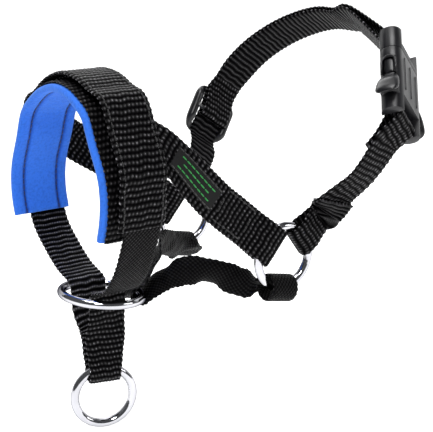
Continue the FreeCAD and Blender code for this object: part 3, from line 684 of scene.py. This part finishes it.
# ---------------------------------------------------------------- thread
def capsule(start, end, radius, sides=6):
    """Points and faces of a short rounded bar, in millimetres."""
    axis = (end - start) / np.linalg.norm(end - start)
    first = np.cross(axis, [0.31, 0.52, 0.79])
    first /= np.linalg.norm(first)
    second = np.cross(axis, first)
    points = []
    for share, size in STITCH_SECTIONS:
        middle = start + (end - start) * share
        for k in range(sides):
            turn = 2 * math.pi * k / sides
            points.append(middle + (first * math.cos(turn) + second * math.sin(turn)) * radius * size)
    rows = len(STITCH_SECTIONS)
    return points, tube_faces(rows, sides) + end_caps(rows, sides)


def stitches(name, runs, material):
    """One mesh of separate stitches along lines (ribbon, distance aside, lift off the middle)."""
    points, faces = [], []
    for ribbon, aside, lift in runs:
        count = max(1, int(ribbon.length / (STITCH + STITCH_GAP)))
        pitch = ribbon.length / count
        gap = min(STITCH_GAP, pitch * 0.2)
        starts = np.arange(count) * pitch + gap / 2
        at = np.stack([starts, starts + pitch - gap], axis=1).ravel()
        centre, side, face, _, _ = ribbon.sample(at)
        place = centre + side * aside + face * lift
        for k in range(count):
            new_points, new_faces = capsule(place[2 * k], place[2 * k + 1], STITCH_R)
            base = len(points)
            points += new_points
            faces += [tuple(base + i for i in f) for f in new_faces]
    made = new_object(name, points, faces, material)
    face_outwards(made)
    return made


def stitching():
    """The seams of the cheek straps and of the band over the nose."""
    black = thread_material("black_thread", (0.001, 0.001, 0.001), (0.004, 0.004, 0.005))
    overlay = ribbons("nose_overlay", face_away=HEAD_MIDDLE)[0]
    _, _, _, half, thick = overlay.sample(np.array([0, overlay.length / 2]))
    aside = half.max() - SEAM_INSET
    seams = {"cheek_stitching": [(ribbon, 0.0, THREAD_SINK) for ribbon in ribbons("cheek_stitching")],
             "nose_stitching": [(overlay, side * aside, thick.max() + THREAD_SINK) for side in (-1, 1)]}
    for node, runs in seams.items():
        made = stitches(node + "_threads", runs, black)
        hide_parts(node)
        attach(made, "halter")


# ---------------------------------------------------------------- label
def label():
    """The sewn label with three plain green bars."""
    ribbon = ribbons("label", face_away=(0, 0, 0))[0]

    def shape(u, v, half, length):
        return 1 + 0 * v, 1 + 0 * v, 0.5 + 0 * v

    patch = sheet_mesh("label_patch", ribbon, label_material(), shape, 0.35)
    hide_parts("label")
    green = thread_material("green_thread", (0.004, 0.16, 0.02), (0.01, 0.42, 0.06))
    lift = ribbon.sample(np.array([0, 1.0]))[4].max()
    bars = [part_of(ribbon, start, end, aside, lift) for start, end, aside in LABEL_BARS]
    marks = stitches("label_bars", bars, green)
    black = thread_material("label_thread", (0.004, 0.004, 0.004), (0.03, 0.03, 0.03))
    edge = stitches("label_edge_threads", [(ribbon, LABEL_EDGE * s, lift) for s in (-1, 1)], black)
    for piece in (patch, marks, edge):
        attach(piece, "halter")


def part_of(ribbon, start, end, aside, lift):
    """A stretch of a ribbon, as a run for stitches."""
    at = np.linspace(start * ribbon.length, end * ribbon.length, 12)
    centre, side, face, half, thick = ribbon.sample(at)
    corners = ((1, 1), (1, -1), (-1, -1), (-1, 1))
    lines = [centre + side * half[:, None] * s + face * thick[:, None] * f for s, f in corners]
    short = Ribbon(lines)
    short.keys["face"] = face * thick[:, None] * 2
    return short, aside, lift


# ---------------------------------------------------------------- rings
def ring_frame(node):
    """Centre, axis, outer radius and wire radius of a CAD torus, in millimetres."""
    points = np.concatenate([p[np.unique(t)] for p, t in shells(node)])
    low, high = points.min(axis=0), points.max(axis=0)
    centre = (low + high) / 2
    _, _, ways = np.linalg.svd(points - centre, full_matrices=False)
    axis = ways[2]
    level = (points - centre) @ axis
    wire = (level.max() - level.min()) / 2
    outer = np.linalg.norm((points - centre) - level[:, None] * axis, axis=1).max()
    return centre, axis, outer, wire


def ring(node, body, material, weld_angle):
    """A welded ring of round wire, with the weld's slight flat and bead."""
    centre, axis, outer, wire = ring_frame(node)
    first = np.cross(axis, [0.0, 0.0, 1.0]) if abs(axis[2]) < 0.9 else np.cross(axis, [0.0, 1.0, 0.0])
    first /= np.linalg.norm(first)
    second = np.cross(axis, first)
    rows, sides = 144, 32
    turn = np.linspace(0, 2 * np.pi, rows, endpoint=False)
    round_wire = np.linspace(0, 2 * np.pi, sides, endpoint=False)
    off = (turn - math.radians(weld_angle) + np.pi) % (2 * np.pi) - np.pi
    thin = 1 - 0.05 * np.exp(-(off / 0.09) ** 2) + 0.045 * np.exp(-(off / 0.03) ** 2)
    radial = np.cos(turn)[:, None] * first + np.sin(turn)[:, None] * second
    section = wire * thin[:, None]
    reach = (outer - wire) + section * np.cos(round_wire)
    points = centre + radial[:, None, :] * reach[..., None] + axis * (section * np.sin(round_wire))[..., None]
    faces = tube_faces(rows, sides) + joined_ends(rows, sides)
    made = new_object(node + "_wire", points.reshape(-1, 3), faces, material)
    face_outwards(made)
    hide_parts(node)
    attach(made, body)


def rings():
    chrome = chrome_material()
    ring("cheek_ring_left", "cheek_ring_l", chrome, 20)
    ring("cheek_ring_right", "cheek_ring_r", chrome, 200)
    ring("chin_ring", "chin_ring", chrome, 95)
    ring("leash_ring", "leash_ring", chrome, 130)


# ---------------------------------------------------------------- plastic
def buckle_frame():
    """The buckle's axes (x across, y through, z towards the plug), and its origin in the socket's mouth."""
    joints = {joint["name"]: joint for joint in frame["joints"]}
    along = np.array(joints["buckle_release"]["axis"], float)
    through = np.array(joints["prong_left_flex"]["axis"], float)
    through -= along * (through @ along)
    axes = np.stack([np.cross(through, along), through, along])
    axes /= np.linalg.norm(axes, axis=1)[:, None]
    points = np.concatenate([p[np.unique(t)] for p, t in shells("buckle_socket")]) @ axes.T
    low, high = points.min(axis=0), points.max(axis=0)
    return axes, np.array([(low[0] + high[0]) / 2, (low[1] + high[1]) / 2, high[2]]) @ axes


def smooth_rows(sections, steps=6):
    """Values between the sections, on a smooth curve."""
    keys = np.array(sections, float)
    marks = np.arange(len(keys), dtype=float)
    return hermite(marks, keys, np.linspace(0, len(keys) - 1, (len(keys) - 1) * steps + 1))


def moulding(name, material, place, sections, sign, bluntness=2.6, sides=36):
    """A closed moulded bar along the buckle's z with rounded sections, mirrored in x by sign."""
    axes, origin = place
    turn = np.linspace(0, 2 * np.pi, sides, endpoint=False)
    x = np.sign(np.cos(turn)) * np.abs(np.cos(turn)) ** (2 / bluntness)
    y = np.sign(np.sin(turn)) * np.abs(np.sin(turn)) ** (2 / bluntness)
    rows = smooth_rows(sections)
    z, middle, half_x, half_y = (rows[:, k:k + 1] for k in range(4))
    local = np.stack([sign * (middle + half_x * x), half_y * y, z + 0 * x], axis=2)
    faces = tube_faces(len(rows), sides) + end_caps(len(rows), sides)
    made = new_object(name, local.reshape(-1, 3) @ axes + origin, faces, material)
    face_outwards(made)
    return made


def bent_tube(name, material, place, path, radius, sides=12):
    """A round bead along a path that is given in the buckle's own frame."""
    axes, origin = place
    path = np.array(path, float)
    along = np.gradient(path, axis=0)
    along /= np.linalg.norm(along, axis=1)[:, None]
    first = np.tile([1.0, 0.0, 0.0], (len(path), 1))
    second = np.cross(along, first)
    turn = np.linspace(0, 2 * np.pi, sides, endpoint=False)
    outward = first[:, None] * np.cos(turn)[:, None] + second[:, None] * np.sin(turn)[:, None]
    local = path[:, None] + radius * outward
    faces = tube_faces(len(path), sides) + end_caps(len(path), sides)
    made = new_object(name, local.reshape(-1, 3) @ axes + origin, faces, material)
    face_outwards(made)
    return made


def window_rim(material, place, sign):
    """The arched bead round the top and sides of the socket's side window."""
    arch = np.linspace(0, np.pi, 17)
    reach = WINDOW_HALF + 0.2
    side = sign * SIDE_X
    top = [(side, reach * math.cos(a), WINDOW_TOP - reach + reach * math.sin(a)) for a in arch]
    path = [(side, reach, WINDOW_LOW)] + top + [(side, -reach, WINDOW_LOW)]
    return bent_tube(f"window_rim_{'right' if sign > 0 else 'left'}", material, place, path, 0.6)


def slider_axes():
    """The slider's directions (along, through and across the webbing), half sizes and centre."""
    joints = {joint["name"]: joint for joint in frame["joints"]}
    points = np.concatenate([p[np.unique(t)] for p, t in shells("slider")])
    _, _, ways = np.linalg.svd(points - points.mean(axis=0), full_matrices=False)
    along = np.array(joints["slider_adjust"]["axis"], float)
    through = ways[2] - along * (ways[2] @ along)
    axes = np.stack([along, through, np.cross(along, through)])
    axes /= np.linalg.norm(axes, axis=1)[:, None]
    spots = points @ axes.T
    low, high = spots.min(axis=0), spots.max(axis=0)
    return axes, (high - low) / 2, ((low + high) / 2) @ axes


def rounded_outline(half_x, half_z, corner, steps=8):
    """Points and outward directions of a rounded rectangle, in x and z."""
    spots, looks = [], []
    for quarter, (sx, sz) in enumerate(((1, 1), (-1, 1), (-1, -1), (1, -1))):
        for a in np.linspace(quarter * math.pi / 2, (quarter + 1) * math.pi / 2, steps):
            way = np.array([math.cos(a), 0.0, math.sin(a)])
            spots.append(np.array([sx * (half_x - corner), 0.0, sz * (half_z - corner)]) + corner * way)
            looks.append(way)
    return np.array(spots), np.array(looks)


def slider_frame(material, axes, half, centre, inner_side):
    """The slider's rounded outer frame. Its two end bars lie outside the webbing, its sides beside it."""
    spots, looks = rounded_outline(half[0] - SLIDER_RAIL, half[2] - SLIDER_RAIL, SLIDER_CORNER)
    turn = np.linspace(0, 2 * np.pi, SLIDER_SIDES, endpoint=False)
    aside = SLIDER_RAIL * np.sign(np.cos(turn)) * np.abs(np.cos(turn)) ** 0.8
    rail_inside = half[2] - 2 * SLIDER_RAIL
    side_share = np.clip((np.abs(spots[:, 2]) - rail_inside) / SLIDER_RAIL, 0, 1)[:, None]
    thick = END_RAIL[0] + side_share * (SIDE_RAIL * half[1] - END_RAIL[0])
    level = thick * np.sign(np.sin(turn)) * np.abs(np.sin(turn)) ** 0.8
    level = level - inner_side * (1 - side_share) * END_RAIL[1]
    through = np.array([0.0, 1.0, 0.0])
    local = spots[:, None] + looks[:, None] * aside[None, :, None] + through * level[..., None]
    faces = tube_faces(len(spots), SLIDER_SIDES) + joined_ends(len(spots), SLIDER_SIDES)
    made = new_object("slider_frame", local.reshape(-1, 3) @ axes + centre, faces, material)
    face_outwards(made)
    return made


def slider_bar(material, axes, half, centre, inner_side):
    """The slider's middle bar, which the webbing goes over."""
    reach = half[2] - SLIDER_RAIL
    bar_y = inner_side * (half[1] - SLIDER_BAR[1])
    wide, thin = SLIDER_BAR
    turn = np.linspace(0, 2 * np.pi, SLIDER_SIDES, endpoint=False)
    x, y = wide * np.cos(turn), thin * np.sin(turn) + bar_y
    rows = np.array([-reach, 0.0, reach])
    local = np.stack([x + 0 * rows[:, None], y + 0 * rows[:, None], rows[:, None] + 0 * x], axis=2)
    faces = tube_faces(len(rows), SLIDER_SIDES) + end_caps(len(rows), SLIDER_SIDES)
    made = new_object("slider_bar", local.reshape(-1, 3) @ axes + centre, faces, material)
    face_outwards(made)
    return made


def slider(material):
    """The slider as one rounded frame with a middle bar."""
    axes, half, centre = slider_axes()
    inner_side = -1 if (np.array(NECK_MIDDLE) - centre) @ axes[1] < 0 else 1
    outer = slider_frame(material, axes, half, centre, inner_side)
    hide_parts("slider")
    bar = slider_bar(material, axes, half, centre, inner_side)
    for piece in (outer, bar):
        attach(piece, "slider")


def buckle_details(material):
    """Rounded prongs, thumb pads, window rims and the ribs on the two faces."""
    place = buckle_frame()
    for node, body in (("prong_left", "prong_l"), ("prong_right", "prong_r")):
        points = np.concatenate([p[np.unique(t)] for p, t in shells(node)]) - place[1]
        sign = 1 if (points @ place[0][0]).mean() > 0 else -1
        arm = moulding(node + "_arm", material, place, PRONG_SECTIONS, sign)
        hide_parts(node)
        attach(arm, body)
        side = "right" if sign > 0 else "left"
        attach(moulding(f"thumb_pad_{side}", material, place, THUMB_SECTIONS, sign, 2.3), "neck")
        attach(window_rim(material, place, sign), "neck")
    for face in (-1, 1):
        for x in FACE_RIBS:
            level = face * (FACE_Y - 0.1)
            path = [(x, level, z) for z in np.linspace(*FACE_RIB_ENDS, 12)]
            name = f"face_rib_{'out' if face > 0 else 'in'}_{int(x + 8)}"
            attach(bent_tube(name, material, place, path, 0.5), "neck")


def plastic():
    """The moulded parts keep their CAD shapes, with every edge rounded as a mould leaves it."""
    black = acetal_material()
    for node, radius in MOULD_ROUNDING.items():
        part = frame["nodes"][node]
        part.data.materials.clear()
        part.data.materials.append(black)
        weld = part.modifiers.new("weld", "WELD")
        weld.merge_threshold = WELD_MM * MM
        edge = part.modifiers.new("rounding", "BEVEL")
        edge.width, edge.segments = radius * MM, 3
        edge.limit_method, edge.angle_limit = "ANGLE", math.radians(35)
        edge.use_clamp_overlap = True
        part.data.shade_smooth()
    buckle_details(black)
    slider(black)


# ---------------------------------------------------------------- stage, light and camera
def stage():
    """A pale floor that curves up into a wall behind the object, in metres."""
    low = CAD_BOX[0][2] - FLOOR_GAP
    across, front, depth, height, curve = 6.0, -4.0, 2.2, 3.0, 0.6
    outline = [(front, low), (depth, low)]
    for k in range(1, 13):
        turn = math.radians(90 * k / 12)
        outline.append((depth + curve * math.sin(turn), low + curve * (1 - math.cos(turn))))
    outline.append((depth + curve, height))
    away = Vector((CAMERA_TARGET.x - CAMERA_AT.x, CAMERA_TARGET.y - CAMERA_AT.y, 0)).normalized()
    side = Vector((-away.y, away.x, 0))
    points, faces = [], []
    for reach, level in outline:
        for s in (-1, 1):
            p = away * reach + side * (s * across)
            points.append((p.x / MM, p.y / MM, level / MM))
    for k in range(len(outline) - 1):
        faces.append((2 * k, 2 * k + 1, 2 * k + 3, 2 * k + 2))
    new_object("backdrop", points, faces, floor_material())


def area_light(name, place, target, size, power):
    data = bpy.data.lights.new(name, "AREA")
    data.shape, data.size, data.energy = "DISK", size, power
    light = bpy.data.objects.new(name, data)
    light.location = place
    light.rotation_euler = (Vector(target) - Vector(place)).to_track_quat("-Z", "Y").to_euler()
    bpy.context.scene.collection.objects.link(light)


def lights():
    """A weak even sky and the soft lights."""
    world = bpy.data.worlds.new("studio")
    world.use_nodes = True
    sky = world.node_tree.nodes["Background"].inputs
    sky["Color"].default_value = (0.9, 0.92, 0.95, 1)
    sky["Strength"].default_value = 0.12
    bpy.context.scene.world = world
    for name, place, target, size, power in LIGHTS:
        area_light(name, place, target, size, power)


def camera():
    data = bpy.data.cameras.new("camera")
    data.lens, data.sensor_width = LENS_MM, SENSOR_MM
    data.clip_start, data.clip_end = 0.01, 50
    eye = bpy.data.objects.new("camera", data)
    eye.location = CAMERA_AT
    eye.rotation_euler = (CAMERA_TARGET - CAMERA_AT).to_track_quat("-Z", "Y").to_euler()
    bpy.context.scene.collection.objects.link(eye)
    bpy.context.scene.camera = eye
    bpy.context.scene.view_settings.view_transform = "Standard"


straps()
padding()
lining()
stitching()
label()
rings()
plastic()
stage()
lights()
camera()
